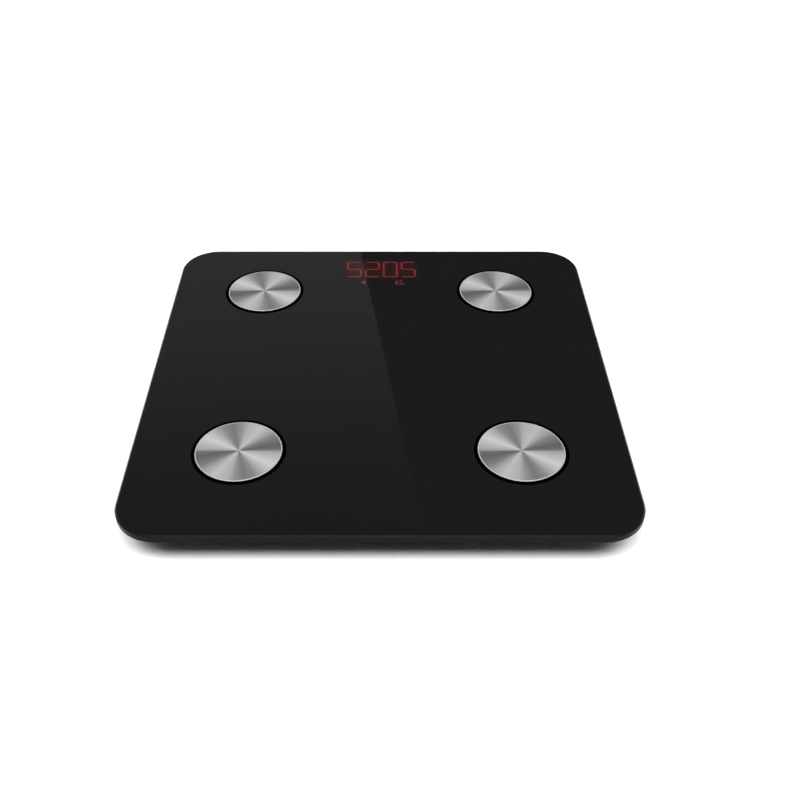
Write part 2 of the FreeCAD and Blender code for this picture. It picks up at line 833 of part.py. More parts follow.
def segment_prism(start, end, width, gap):
    """A bar with pointed ends between two places, lying on the display's face."""
    along = (end - start).normalize()
    across = Vector(-along.y, along.x, 0) * (width / 2)
    point = along * gap
    shoulder = along * (gap + width / 2)
    corners = [start + point, start + shoulder + across, end - shoulder + across, end - point,
               end - shoulder - across, start + shoulder - across]
    face = Part.Face(Part.makePolygon(corners + corners[:1]))
    return face.extrude(Vector(0, 0, size("segment_top - display_top")))


def digit_segments(position, character):
    """The lit and the unlit segments of one digit."""
    across = size("digit_width - stroke")
    rise = size("digit_height - stroke") / 2
    left = size("digit_centre_x") + (position - 1.5) * size("digit_pitch") - across / 2
    corner = Vector(left, size("digit_centre_y") - rise, size("display_top"))
    lit = []
    unlit = []
    for name, ends in SEGMENTS.items():
        start, end = [corner + Vector(x * across, y * rise, 0) for x, y in ends]
        width = size("bar_stroke" if start.y == end.y else "stroke")
        prism = segment_prism(start, end, width, size("stroke_gap"))
        (lit if name in LIT[character] else unlit).append(prism)
    return lit, unlit


# The strokes of the unit's letters, on a letter one unit wide and one high.
UNIT_STROKES = (
    (((0, 0), (0, 1)), ((0, 0.5), (1, 1)), ((0, 0.5), (1, 0))),
    (((1, 1), (0, 1)), ((0, 1), (0, 0)), ((0, 0), (1, 0)), ((1, 0), (1, 0.5)), ((1, 0.5), (0.5, 0.5))),
)


def make_marks():
    """A small arrow and the unit of mass, lit below the number."""
    tip = Vector(size("arrow_x"), size("mark_y"), size("display_top"))
    back = size("arrow_length")
    half = size("arrow_half")
    corners = [tip, tip + Vector(back, -half, 0), tip + Vector(back, half, 0), tip]
    arrow = Part.Face(Part.makePolygon(corners))
    marks = [arrow.extrude(Vector(0, 0, size("segment_top - display_top")))]
    for letter, strokes in enumerate(UNIT_STROKES):
        corner = Vector(size("unit_x") + letter * size("unit_pitch"),
                        size("mark_y - unit_height / 2"), size("display_top"))
        for ends in strokes:
            start, end = [corner + Vector(x * size("unit_letter"), y * size("unit_height"), 0)
                          for x, y in ends]
            marks.append(segment_prism(start, end, size("unit_stroke"), size("unit_gap")))
    shape_piece("display_marks", Part.makeCompound(marks))


def make_display():
    frame = new_body("display_frame")
    add(frame, [rounded("window_x", "window_y", "window_width + display_margin",
                        "window_depth + 0.4", "1.5")], "display_bottom", "display_top")
    keep(frame)
    lit = []
    unlit = []
    for position, character in enumerate(READING):
        bright, dark = digit_segments(position, character)
        lit += bright
        unlit += dark
    shape_piece("display_digits", Part.makeCompound(lit))
    shape_piece("display_unlit_segments", Part.makeCompound(unlit))

    make_marks()
    point = new_body("display_point")
    add(point, [circle("digit_centre_x", "digit_centre_y - digit_height / 2 + stroke / 2",
                       "stroke / 3")], "display_top", "segment_top")
    keep(point)


# ---------------------------------------------------------------- unit button

def make_button():
    body = new_body("unit_button")
    turn(body, [("0", "button_bottom"), ("button_radius - 0.4", "button_bottom"),
                ("button_radius", "button_bottom + 0.4"), ("button_radius", "flange_bottom"),
                ("flange_radius", "flange_bottom"), ("flange_radius", "flange_top"),
                ("stem_radius", "flange_top"), ("stem_radius", "stem_top"), ("0", "stem_top")])
    keep(place(body, "button_x", "button_y"))
    switch = new_body("unit_switch")
    add(switch, [rounded("0", "0", "switch_side", "switch_side", "0.5")],
        "switch_bottom", "board_bottom")
    add(switch, [circle("0", "0", "plunger_radius")], "plunger_bottom", "switch_bottom")
    keep(place(switch, "button_x", "button_y"))


# ---------------------------------------------------------------- wires

def rounded_path(points):
    """Straight runs joined by tangent arcs."""
    edges = []
    start = points[0]
    for before, corner, after in zip(points, points[1:], points[2:]):
        back = (before - corner).normalize()
        ahead = (after - corner).normalize()
        half_turn = (math.pi - back.getAngle(ahead)) / 2
        trim = 0.45 * min((before - corner).Length, (after - corner).Length)
        radius = trim / math.tan(half_turn)
        entry = corner + back * trim
        leave = corner + ahead * trim
        bisector = (back + ahead).normalize()
        middle = corner + bisector * (radius / math.cos(half_turn) - radius)
        edges.append(Part.LineSegment(start, entry).toShape())
        edges.append(Part.Arc(entry, middle, leave).toShape())
        start = leave
    edges.append(Part.LineSegment(start, points[-1]).toShape())
    return Part.Wire(edges)


def wire_tube(label, radius, points):
    """A round wire along a route, checked against its section times its length."""
    route = rounded_path([Vector(*point) for point in points])
    first = route.Edges[0]
    section = Part.Wire([Part.Circle(first.valueAt(first.FirstParameter),
                                     first.tangentAt(first.FirstParameter), radius).toShape()])
    tube = route.makePipeShell([section], True, False)
    expected = math.pi * radius ** 2 * route.Length
    if abs(tube.Volume / expected - 1) > 0.02:
        raise RuntimeError(f"{label} has a volume of {tube.Volume:.1f}, not {expected:.1f}")
    return tube


def make_springs():
    """A coil spring at the flat end of every cell, between the cell and its contact plate."""
    wire = size("spring_wire")
    radius = size("spring_radius")
    plate = size("bay_half_x - contact_thick")
    room = 2 * plate - size("cell_length + nub_length")
    margin = wire + size("spring_gap")
    steps = round(size("spring_turns * spring_steps"))
    coils = []
    for cell in range(3):
        direction = 1 if cell != 1 else -1
        points = []
        for step in range(steps + 1):
            angle = 2 * math.pi * step / size("spring_steps")
            along = margin + (room - 2 * margin) * step / steps
            points.append((direction * (along - plate),
                           (cell - 1) * size("cell_pitch") + radius * math.cos(angle),
                           size("cell_axis_z") + radius * math.sin(angle)))
        coils.append(wire_tube(f"battery_spring_{cell + 1}", wire, points))
    shape_piece("battery_springs", Part.makeCompound(coils))


def mirrored(points):
    """The same route on the other side of the scale."""
    return [(-x, y, z) for x, y, z in points]


def make_electrode_wires():
    """From each ring terminal to a socket on top of the board."""
    end = size("board_half_x")
    start = size("electrode_x - terminal_reach")
    back_y = size("electrode_back_y")
    front_y = size("electrode_front_y")
    plug_y = size("electrode_plug_y")
    back = [(start, back_y, 17.6), (58, 82.6, 17.4), (52, 87, 17.0), (end, plug_y + 1.4, 16.9)]
    front = [(start, front_y, 17.6), (58, -66, 14.5), (52.5, -52, 9.6), (50, -24, 7.9), (51.5, 8, 7.8),
             (49.5, 38, 7.9), (51, 62, 9.6), (52.5, 77, 13.5), (50.5, 86, 16.2),
             (end, plug_y - 1.4, 16.9)]
    tubes = []
    for name, route in (("back", back), ("front", front)):
        for side, points in (("right", route), ("left", mirrored(route))):
            tubes.append(wire_tube(f"electrode_wire_{name}_{side}", size("thin_wire"), points))
    shape_piece("electrode_wires", Part.makeCompound(tubes))


def make_cell_cables():
    """From each gauge's seal, out of its pocket, to a socket under the board."""
    end = size("board_half_x")
    start = size("foot_x - seal_width / 2")
    back_y = size("foot_y + seal_y")
    front_y = size("seal_y - foot_y")
    height = 12.85
    back = [(start, back_y, height), (66, back_y, height), (56, back_y - 1, 12.4),
            (end, size("back_plug_y"), height)]
    front = [(start, front_y, height), (67, front_y, height), (60, -71, 11.6), (57.5, -56, 8.4),
             (56, -26, 8.0), (57.5, 10, 7.9), (55.5, 40, 8.0), (57, 66, 8.6), (55, 82, 10.8),
             (end, size("front_plug_y"), height)]
    tubes = []
    for name, route in (("back", back), ("front", front)):
        for side, points in (("right", route), ("left", mirrored(route))):
            tubes.append(wire_tube(f"load_cell_cable_{name}_{side}", size("cell_cable"), points))
    shape_piece("load_cell_cables", Part.makeCompound(tubes))


def make_battery_wires():
    """A red and a black wire from the bay's back wall to the socket under the board."""
    wall = size("bay_half_y + bay_wall")
    end = size("board_front")
    red = [(-14, wall, 12.5), (-13.5, wall + 9, 10), (-9, wall + 22, 8.0), (-4.5, wall + 38, 8.2),
           (-2, wall + 51, 11), (-1.6, end, 12.9)]
    shape_piece("battery_wire_red", wire_tube("battery_wire_red", size("thin_wire"), red))
    black = mirrored(red)
    shape_piece("battery_wire_black", wire_tube("battery_wire_black", size("thin_wire"), black))


# ---------------------------------------------------------------- the whole scale

def check_document():
    """Stop on a failed object, an empty or invalid shape, or a cut that removed nothing."""
    for item in doc.Objects:
        if {"Invalid", "Error"} & set(item.State):
            raise RuntimeError(f"{item.Label} failed: {item.State}")
        if item.TypeId in ("PartDesign::Pocket", "PartDesign::SubtractiveLoft"):
            if item.Shape.Volume >= item.BaseFeature.Shape.Volume - 1e-6:
                raise RuntimeError(f"{item.Label} cuts nothing")
    for piece in kept:
        if piece.Shape.isNull() or not piece.Shape.isValid() or not piece.Shape.Solids:
            raise RuntimeError(f"{piece.Label} has no valid solid")


def write_parts():
    os.makedirs("parts", exist_ok=True)
    for piece in kept:
        piece.Shape.exportStep(f"parts/{piece.Label}.step")
        print(f"{piece.Label}: {len(piece.Shape.Solids)} solid(s), {piece.Shape.Volume:.1f} mm3")


make_glass()
make_film()
make_electrodes()
make_electrode_seals()
make_electrode_fixings()
make_tape()
make_tray()
make_label()
make_feet()
make_door()
make_cells()
make_contacts()
make_springs()
make_board()
make_board_parts()
make_display()
make_button()
make_electrode_wires()
make_cell_cables()
make_battery_wires()
doc.recompute()
check_document()
write_parts()
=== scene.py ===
import math

import bmesh
import bpy
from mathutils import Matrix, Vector


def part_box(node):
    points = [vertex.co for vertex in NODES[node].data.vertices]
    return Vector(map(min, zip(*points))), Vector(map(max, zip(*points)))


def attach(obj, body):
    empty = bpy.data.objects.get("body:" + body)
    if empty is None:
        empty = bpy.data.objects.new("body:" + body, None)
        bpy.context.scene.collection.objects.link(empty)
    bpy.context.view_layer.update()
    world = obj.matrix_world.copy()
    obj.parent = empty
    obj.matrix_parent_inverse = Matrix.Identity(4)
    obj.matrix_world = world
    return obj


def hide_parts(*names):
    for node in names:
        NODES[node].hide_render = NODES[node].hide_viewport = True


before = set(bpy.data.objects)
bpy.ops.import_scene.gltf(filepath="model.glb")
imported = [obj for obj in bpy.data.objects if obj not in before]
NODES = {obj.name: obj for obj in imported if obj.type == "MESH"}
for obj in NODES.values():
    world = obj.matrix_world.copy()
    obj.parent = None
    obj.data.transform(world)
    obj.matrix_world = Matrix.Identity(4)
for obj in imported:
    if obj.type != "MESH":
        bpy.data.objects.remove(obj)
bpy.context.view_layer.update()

MM = 0.001

CORNERS = ("front_left", "front_right", "back_left", "back_right")
# A face is level where its normal's Z, up or down, reaches this.
LEVEL = 0.9999

# The plate's box comes from the frame, and its corner, bevel and holes are those of the design.
GLASS_LOW, GLASS_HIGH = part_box("glass_platform")
GLASS_BOTTOM = GLASS_LOW[2]
GLASS_TOP = GLASS_HIGH[2]
GLASS_CORNER = 22.4 * MM
GLASS_BEVEL = 0.9 * MM
CORNER_STEPS = 24
HOLE_RADIUS = 3 * MM
HOLE_STEPS = 32
# The plate's material slots, in order.
BLACK, EDGE, CLEAR, WINDOW_INK, BEVEL, SOLID_INK = range(6)

WINDOW_CORNER = 2 * MM
WINDOW_SPREAD = 3.5 * MM
FILM_GAP = 0.05 * MM
FILM_BEVEL = 0.02 * MM
DIGIT_PITCH = 11.85 * MM

# An electrode: a domed disc whose rolled rim, lighter than the steel as a painted highlight, stands on
# a black seal whose near-black side also serves as painted contact shadow, with a stud below.
STUD_RADIUS = 1.5 * MM
# How far the seal reaches past the steel; its black side is partly painted contact shadow.
SEAL_WIDTH = 0.3 * MM
SEAT_GAP = 0.02 * MM
CROWN = 0.08 * MM
RIM_RADIUS = 0.15 * MM
RIM_FOOT = 0.03 * MM
RIM_FLAT = 0.45 * MM
RIM_STEPS = 6
CROWN_STEPS = 12
DISC_STEPS = 160
# An electrode's material slots, in order.
# The seal slot also paints the contact shadow round each disc; the rolled slot paints the rim's
# highlight.
STEEL, SEAL_SHADOW, ROLLED_HIGHLIGHT = range(3)

PRINT_BLACK = ((0.35, (0.0002, 0.0002, 0.0002)), (0.65, (0.0004, 0.0004, 0.0004)))
STEEL_LEVEL = 0.74
# Painted reflection: the spun steel's bright and dark sectors, as brightness over half a turn of a
# disc, from the right (+X) anticlockwise: share, linear grey.
PAINTED_REFLECTION_SECTORS = ((0.0, 0.42), (0.015, 0.26), (0.07, 0.19), (0.18, 0.34), (0.25, 0.60), (0.33, 0.84),
           (0.44, 0.70), (0.50, 0.46), (0.58, 0.30), (0.66, 0.40), (0.75, 0.74), (0.83, 1.0),
           (0.91, 0.80), (0.98, 0.62), (1.0, 0.42))


# ---------------------------------------------------------------- camera, stage and light

CAMERA_PITCH = 39.542
CAMERA_Y = -448.94 * MM
CAMERA_RISE = 347.12 * MM
CAMERA_LENS = 44.41
CAMERA_SHIFT = 0.0249
FLOOR_REACH = 12.0

# Three key lights in front lean outwards and backwards by these shares of their fall.
KEY_LEANS = (-0.28, 0, 0.28)
KEY_LEAN_BACK = 0.45
KEY_SPREAD = 21
KEY_STRENGTH = 1.5
FILL_LEANS = (-0.85, 0.85)
FILL_SPREAD = 30
FILL_STRENGTH = 0.08

# The panel lies level above and behind the scale, between two distances, and fades in with Y.
CARD_HEIGHT = 1.0
CARD_LEFT = -1.6
CARD_NEAR = 0.78
CARD_NEAR_RIGHT = 0.080
CARD_FAR = 1.90
CARD_FAR_RIGHT = -0.070
CARD_FADE_END = 1.45
CARD_GLOW = (0.23, 0.31)

# Grey of the sky by height, from the horizon up, and its share in front of and behind the scale.
SKY = ((0.0, (1.0, 1.0, 1.0)), (0.22, (0.03, 0.03, 0.03)), (0.29, (0.03, 0.03, 0.03)),
       (1.0, (0.353, 0.353, 0.353)))
SKY_FRONT_TO_BACK = (-0.5, 0.3)
SKY_SHARES = (0.35, 1.0)


def make_camera():
    """The camera looks down along +Y, from in front of the platform."""
    data = bpy.data.cameras.new("camera")
    data.sensor_width = 36
    data.lens = CAMERA_LENS
    data.shift_x = CAMERA_SHIFT
    data.clip_start = 0.01
    camera = bpy.data.objects.new("camera", data)
    camera.location = (0, CAMERA_Y, GLASS_TOP + CAMERA_RISE)
    camera.rotation_euler = (math.radians(90 - CAMERA_PITCH), 0, 0)
    bpy.context.scene.collection.objects.link(camera)
    bpy.context.scene.camera = camera


def flat_mesh(name, corners):
    """A single flat face."""
    mesh = bpy.data.meshes.new(name)
    mesh.from_pydata(corners, [], [tuple(range(len(corners)))])
    piece = bpy.data.objects.new(name, mesh)
    bpy.context.scene.collection.objects.link(piece)
    return piece


def make_floor():
    """White paper, which is clear when seen from below."""
    reach = FLOOR_REACH
    floor = flat_mesh("floor", [(-reach, -reach, 0), (reach, -reach, 0), (reach, reach, 0),
                                (-reach, reach, 0)])
    material, nodes, links, shader = new_material("floor_paint")
    noise = texture(nodes, links, "ShaderNodeTexNoise", Scale=3.0, Detail=3.0)
    links.new(ramp(nodes, links, noise.outputs["Fac"], [(0.3, (0.90, 0.90, 0.90)),
                                                         (0.7, (0.92, 0.92, 0.92))]),
              shader.inputs["Base Color"])
    shader.inputs["Roughness"].default_value = 0.9
    shader.inputs["Specular IOR Level"].default_value = 0.1
    above = calculate(nodes, links, "SUBTRACT", 1.0,
                      nodes.new("ShaderNodeNewGeometry").outputs["Backfacing"])
    links.new(above, shader.inputs["Alpha"])
    floor.data.materials.append(material)


def sun_light(name, lean_x, lean_y, spread, strength):
    """A distant light whose rays lean along X and Y by these shares of their fall."""
    data = bpy.data.lights.new(name, "SUN")
    data.angle = math.radians(spread)
    data.energy = strength
    light = bpy.data.objects.new(name, data)
    light.rotation_euler = Vector((lean_x, lean_y, -1)).to_track_quat("-Z", "Y").to_euler()
    bpy.context.scene.collection.objects.link(light)


def map_range(nodes, links, value, source, result, smooth=False):
    """Carry a value from one range to another, held at the ends."""
    node = nodes.new("ShaderNodeMapRange")
    if smooth:
        node.interpolation_type = "SMOOTHSTEP"
    node.inputs["From Min"].default_value = source[0]
    node.inputs["From Max"].default_value = source[1]
    node.inputs["To Min"].default_value = result[0]
    node.inputs["To Max"].default_value = result[1]
    links.new(value, node.inputs["Value"])
    return node.outputs["Result"]


def make_card():
    """A glowing studio panel above and behind the scale, whose slanting edge shows in the glass."""
    card = flat_mesh("reflection_card", [(CARD_LEFT, CARD_NEAR, CARD_HEIGHT),
                                         (CARD_NEAR_RIGHT, CARD_NEAR, CARD_HEIGHT),
                                         (CARD_FAR_RIGHT, CARD_FAR, CARD_HEIGHT),
                                         (CARD_LEFT, CARD_FAR, CARD_HEIGHT)])
    material = bpy.data.materials.new("card_glow")
    material.use_nodes = True
    nodes = material.node_tree.nodes
    links = material.node_tree.links
    nodes.clear()
    output = nodes.new("ShaderNodeOutputMaterial")
    glow = nodes.new("ShaderNodeEmission")
    glow.inputs["Color"].default_value = (1, 1, 1, 1)
    split = nodes.new("ShaderNodeSeparateXYZ")
    links.new(nodes.new("ShaderNodeTexCoord").outputs["Object"], split.inputs[0])
    fade = map_range(nodes, links, split.outputs["Y"], (CARD_NEAR, CARD_FADE_END), CARD_GLOW,
                     smooth=True)
    links.new(fade, glow.inputs["Strength"])
    links.new(glow.outputs["Emission"], output.inputs["Surface"])
    card.data.materials.append(material)
    card.visible_shadow = False


def make_light():
    """A sky bright at the horizon and overhead, key lights in front and weak side lights."""
    world = bpy.data.worlds.new("studio")
    world.use_nodes = True
    nodes = world.node_tree.nodes
    links = world.node_tree.links
    split = nodes.new("ShaderNodeSeparateXYZ")
    links.new(nodes.new("ShaderNodeTexCoord").outputs["Generated"], split.inputs[0])
    background = nodes["Background"]
    links.new(ramp(nodes, links, split.outputs["Z"], SKY), background.inputs["Color"])
    behind = map_range(nodes, links, split.outputs["Y"], SKY_FRONT_TO_BACK, SKY_SHARES,
                       smooth=True)
    links.new(behind, background.inputs["Strength"])
    bpy.context.scene.world = world
    bpy.context.scene.view_settings.view_transform = "Standard"
    for lean in KEY_LEANS:
        sun_light("key", lean, KEY_LEAN_BACK, KEY_SPREAD, KEY_STRENGTH)
    for lean in FILL_LEANS:
        sun_light("fill", lean, 0, FILL_SPREAD, FILL_STRENGTH)


# ---------------------------------------------------------------- material helpers

def new_material(name):
    """A material with a Principled shader: (material, nodes, links, shader)."""
    material = bpy.data.materials.new(name)
    material.use_nodes = True
    nodes = material.node_tree.nodes
    links = material.node_tree.links
    return material, nodes, links, nodes["Principled BSDF"]


def texture(nodes, links, kind, vector=None, **values):
    """A texture node that reads object coordinates."""
    node = nodes.new(kind)
    for socket, value in values.items():
        node.inputs[socket].default_value = value
    if vector is None:
        vector = nodes.new("ShaderNodeTexCoord").outputs["Object"]
    links.new(vector, node.inputs["Vector"])
    return node


def ramp(nodes, links, value, stops):
    """A colour ramp over a value; its colour output."""
    node = nodes.new("ShaderNodeValToRGB")
    elements = node.color_ramp.elements
    while len(elements) < len(stops):
        elements.new(0.5)
    for element, (place, colour) in zip(elements, stops):
        element.position = place
        element.color = (*colour, 1)
    links.new(value, node.inputs["Fac"])
    return node.outputs["Color"]


def calculate(nodes, links, operation, first, second=0.0):
    """A Math node on two sockets or numbers; its output."""
    node = nodes.new("ShaderNodeMath")
    node.operation = operation
    for socket, value in zip(node.inputs, (first, second)):
        if isinstance(value, (int, float)):
            socket.default_value = value
        else:
            links.new(value, socket)
    return node.outputs[0]


def add_bump(nodes, links, shader, height, distance):
    """Roughen a surface by a height, over a distance."""
    bump = nodes.new("ShaderNodeBump")
    bump.inputs["Distance"].default_value = distance
    links.new(height, bump.inputs["Height"])
    links.new(bump.outputs["Normal"], shader.inputs["Normal"])


def shade(colour, factor):
    """A colour made lighter or darker."""
    return tuple(channel * factor for channel in colour)


def plain(name, colour, roughness, grain=400, depth=0.02, spread=0.12, metallic=0.0, level=0.5):
    """A moulded, printed or plated surface: a little uneven in colour, roughness and height."""
    material, nodes, links, shader = new_material(name)
    fine = texture(nodes, links, "ShaderNodeTexNoise", Scale=grain, Detail=4.0, Roughness=0.6)
    broad = texture(nodes, links, "ShaderNodeTexNoise", Scale=18.0, Detail=3.0)
    links.new(ramp(nodes, links, broad.outputs["Fac"], [(0.3, shade(colour, 1 - spread)),
                                                         (0.7, shade(colour, 1 + spread))]),
              shader.inputs["Base Color"])
    rough = map_range(nodes, links, fine.outputs["Fac"], (0, 1),
                      (roughness * 0.85, min(1.0, roughness * 1.15)))
    links.new(rough, shader.inputs["Roughness"])
    shader.inputs["Metallic"].default_value = metallic
    shader.inputs["Specular IOR Level"].default_value = level
    add_bump(nodes, links, shader, fine.outputs["Fac"], depth * MM)
    return material


def give(material, *names):
    """Put a material on CAD nodes."""
    for name in names:
        for slot in NODES[name].material_slots:
            slot.material = material


# ---------------------------------------------------------------- pieces

def outline(low, high, inset, corner, height):
    """A box's rectangle, drawn in by an inset, with round corners, as points anticlockwise."""
    points = []
    reach = inset + corner
    centres = ((high[0] - reach, low[1] + reach), (high[0] - reach, high[1] - reach),
               (low[0] + reach, high[1] - reach), (low[0] + reach, low[1] + reach))
    for quarter, (x, y) in enumerate(centres):
        start = -math.pi / 2 + quarter * math.pi / 2
        for step in range(CORNER_STEPS + 1):
            angle = start + step / CORNER_STEPS * math.pi / 2
            points.append((x + corner * math.cos(angle), y + corner * math.sin(angle), height))
    return points


def ring(bm, centre, radius, height, steps):
    """New vertices on a level circle, anticlockwise; with no radius, one vertex repeated."""
    if radius == 0:
        return [bm.verts.new((centre[0], centre[1], height))] * steps
    return [bm.verts.new((centre[0] + radius * math.cos(2 * math.pi * step / steps),
                          centre[1] + radius * math.sin(2 * math.pi * step / steps),
                          height)) for step in range(steps)]


def join_rings(bm, low, high, slot_index):
    """A band of faces between two rings of vertices."""
    for step in range(len(low)):
        after = (step + 1) % len(low)
        corners = list(dict.fromkeys((low[step], low[after], high[after], high[step])))
        bm.faces.new(corners).material_index = slot_index


def loft_rings(bm, rings, slots):
    """Faces between rings of points; slots gives each band's material. Returns the rings' vertices."""
    loops = [[bm.verts.new(point) for point in points] for points in rings]
    for slot_index, low, high in zip(slots, loops, loops[1:]):
        join_rings(bm, low, high, slot_index)
    return loops


def lathe(bm, profile, centre, steps, slots):
    """Turn (radius, height) points about a vertical axis; slots gives each band's material."""
    rings = [ring(bm, centre, radius, height, steps) for radius, height in profile]
    for slot_index, low, high in zip(slots, rings, rings[1:]):
        join_rings(bm, low, high, slot_index)


def fill_face(bm, rim, holes, slot_index):
    """Fill the flat space between a rim and the holes in it with one material."""
    edges = []
    for loop in [rim] + holes:
        for step in range(len(loop)):
            pair = (loop[step], loop[(step + 1) % len(loop)])
            edges.append(bm.edges.get(pair) or bm.edges.new(pair))
    for piece in bmesh.ops.triangle_fill(bm, edges=edges, use_beauty=True)["geom"]:
        if isinstance(piece, bmesh.types.BMFace):
            piece.material_index = slot_index


def finish_piece(bm, name, node, materials, smooth_angle):
    """Turn a bmesh into a piece on the scale's body that stands for a CAD node.

    Its level faces are flat, and the others are smooth within an angle.
    """
    mesh = bpy.data.meshes.new(name)
    bm.to_mesh(mesh)
    bm.free()
    for polygon in mesh.polygons:
        polygon.use_smooth = abs(polygon.normal.z) < LEVEL
    mesh.set_sharp_from_angle(angle=math.radians(smooth_angle))
    for material in materials:
        mesh.materials.append(material)
    piece = bpy.data.objects.new(name, mesh)
    bpy.context.scene.collection.objects.link(piece)
    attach(piece, "scale_body")
    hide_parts(node)


def electrode_centre(name):
    """The middle of an electrode's box."""
    low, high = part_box(f"electrode_{name}")
    return [(one + other) / 2 for one, other in zip(low, high)]


def fill_with_window(bm, rim, bores, spread, around, inside):
    """Fill a face of the plate, with the display's window, made wider by a spread, in it."""
    low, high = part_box("display_filter")
    height = rim[0].co.z
    left, right = low[0] - spread, high[0] + spread
    front, back = low[1] - spread, high[1] + spread
    window = [bm.verts.new((x, y, height)) for x, y in
              ((left, front), (right, front), (right, back), (left, back))]
    fill_face(bm, rim, bores + [window], around)
    bm.faces.new(window).material_index = inside


def make_glass_plate(materials):
    """The bevelled plate: black seen from above, with a clear window over the display.

    The window is wider on top than in the ink, so that a slanting view meets no rim.
    """
    rows = ((GLASS_BEVEL, GLASS_BOTTOM), (0, GLASS_BOTTOM + GLASS_BEVEL),
            (0, GLASS_TOP - GLASS_BEVEL), (GLASS_BEVEL, GLASS_TOP))
    bm = bmesh.new()
    loops = loft_rings(bm, [outline(GLASS_LOW, GLASS_HIGH, inset, GLASS_CORNER - inset, height)
                            for inset, height in rows], (EDGE, EDGE, BEVEL))
    lower_bores = []
    upper_bores = []
    for name in CORNERS:
        lower = ring(bm, electrode_centre(name), HOLE_RADIUS, GLASS_BOTTOM, HOLE_STEPS)
        upper = ring(bm, electrode_centre(name), HOLE_RADIUS, GLASS_TOP, HOLE_STEPS)
        join_rings(bm, lower, upper, BLACK)
        lower_bores.append(lower)
        upper_bores.append(upper)
    fill_with_window(bm, loops[-1], upper_bores, WINDOW_SPREAD, BLACK, CLEAR)
    fill_with_window(bm, loops[0], lower_bores, 0, SOLID_INK, WINDOW_INK)
    bmesh.ops.recalc_face_normals(bm, faces=bm.faces)
    finish_piece(bm, "glass_plate", "glass_platform", materials, 20)


def electrode_profile(radius, bottom, top):
    """Half the section of an electrode, from its stud's end up, and each band's material."""
    seat = GLASS_TOP + SEAT_GAP
    shoulder = top - CROWN - RIM_RADIUS
    foot = shoulder - RIM_FOOT
    steel_radius = radius - SEAL_WIDTH
    crown_radius = steel_radius - RIM_RADIUS - RIM_FLAT
    profile = [(0, bottom), (STUD_RADIUS, bottom), (STUD_RADIUS, seat), (radius, seat),
               (radius, foot), (steel_radius, foot), (steel_radius, shoulder)]
    slots = [STEEL, STEEL, SEAL_SHADOW, SEAL_SHADOW, SEAL_SHADOW, ROLLED_HIGHLIGHT]
    for step in range(1, RIM_STEPS + 1):
        angle = step / RIM_STEPS * math.pi / 2
        profile.append((steel_radius - RIM_RADIUS * (1 - math.cos(angle)),
                        shoulder + RIM_RADIUS * math.sin(angle)))
        slots.append(ROLLED_HIGHLIGHT)
    profile.append((crown_radius, top - CROWN))
    slots.append(ROLLED_HIGHLIGHT)
    for step in range(1, CROWN_STEPS):
        share = 1 - step / CROWN_STEPS
        profile.append((crown_radius * share, top - CROWN * share ** 2))
        slots.append(STEEL)
    profile.append((0, top))
    slots.append(STEEL)
    return profile, slots


def make_electrode(name, materials):
    """A slightly domed steel disc with a rolled rim in a lighter painted highlight, on a black seal
    that also stands for painted contact shadow, with its stud.
    """
    low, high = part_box(f"electrode_{name}")
    profile, slots = electrode_profile((high[0] - low[0]) / 2, low[2], high[2])
    bm = bmesh.new()
    lathe(bm, profile, electrode_centre(name), DISC_STEPS, slots)
    bmesh.ops.recalc_face_normals(bm, faces=bm.faces)
    finish_piece(bm, f"electrode_disc_{name}", f"electrode_{name}", materials, 40)


def make_window_film(material):
    """The smoked film in the window, a hair under the glass."""
    low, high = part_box("display_filter")
    top = high[2] - FILM_GAP
    rows = ((0, low[2]), (0, top - FILM_BEVEL), (FILM_BEVEL, top))
    bm = bmesh.new()
    loops = loft_rings(bm, [outline(low, high, inset, WINDOW_CORNER - inset, height)
                            for inset, height in rows], (0, 0))
    bm.faces.new(loops[0][::-1])
    bm.faces.new(loops[-1])
    finish_piece(bm, "window_film", "display_filter", [material], 20)


# ---------------------------------------------------------------- materials

def polish_glass(nodes, links, shader):
    """The shine of glass with wiped smears."""
    smear = texture(nodes, links, "ShaderNodeTexNoise", Scale=9.0, Detail=5.0, Roughness=0.65)
    wiped = map_range(nodes, links, smear.outputs["Fac"], (0.35, 0.75), (0.012, 0.03))
    links.new(wiped, shader.inputs["Roughness"])
    shader.inputs["IOR"].default_value = 1.5


def glass_material():
    """Clear glass, faintly green."""
    material, nodes, links, shader = new_material("toughened_glass")
    shader.inputs["Base Color"].default_value = (0.86, 0.95, 0.92, 1)
    shader.inputs["Transmission Weight"].default_value = 1.0
    polish_glass(nodes, links, shader)
    return material


def black_glass_material():
    """Clear glass over black print: one smooth reflection over almost nothing."""
    material, nodes, links, shader = new_material("black_glass")
    cloud = texture(nodes, links, "ShaderNodeTexNoise", Scale=30.0, Detail=3.0)
    links.new(ramp(nodes, links, cloud.outputs["Fac"], PRINT_BLACK), shader.inputs["Base Color"])
    polish_glass(nodes, links, shader)
    return material


def ink_material(name, alpha):
    """The black ink under the glass, which lets light through where its alpha is low."""
    material, nodes, links, shader = new_material(name)
    cloud = texture(nodes, links, "ShaderNodeTexNoise", Scale=30.0, Detail=3.0)
    links.new(ramp(nodes, links, cloud.outputs["Fac"], PRINT_BLACK), shader.inputs["Base Color"])
    shader.inputs["Roughness"].default_value = 0.6
    shader.inputs["Alpha"].default_value = alpha
    shader.inputs["Specular IOR Level"].default_value = 0.0
    return material


def edge_material(name, level):
    """Ground and blackened glass edges, with a level of shine."""
    material, nodes, links, shader = new_material(name)
    grain = texture(nodes, links, "ShaderNodeTexNoise", Scale=700.0, Detail=4.0)
    links.new(ramp(nodes, links, grain.outputs["Fac"], [(0.3, (0.005, 0.006, 0.006)),
                                                         (0.7, (0.007, 0.008, 0.008))]),
              shader.inputs["Base Color"])
    shader.inputs["Roughness"].default_value = 0.3
    shader.inputs["Specular IOR Level"].default_value = level
    add_bump(nodes, links, shader, grain.outputs["Fac"], 0.004 * MM)
    return material


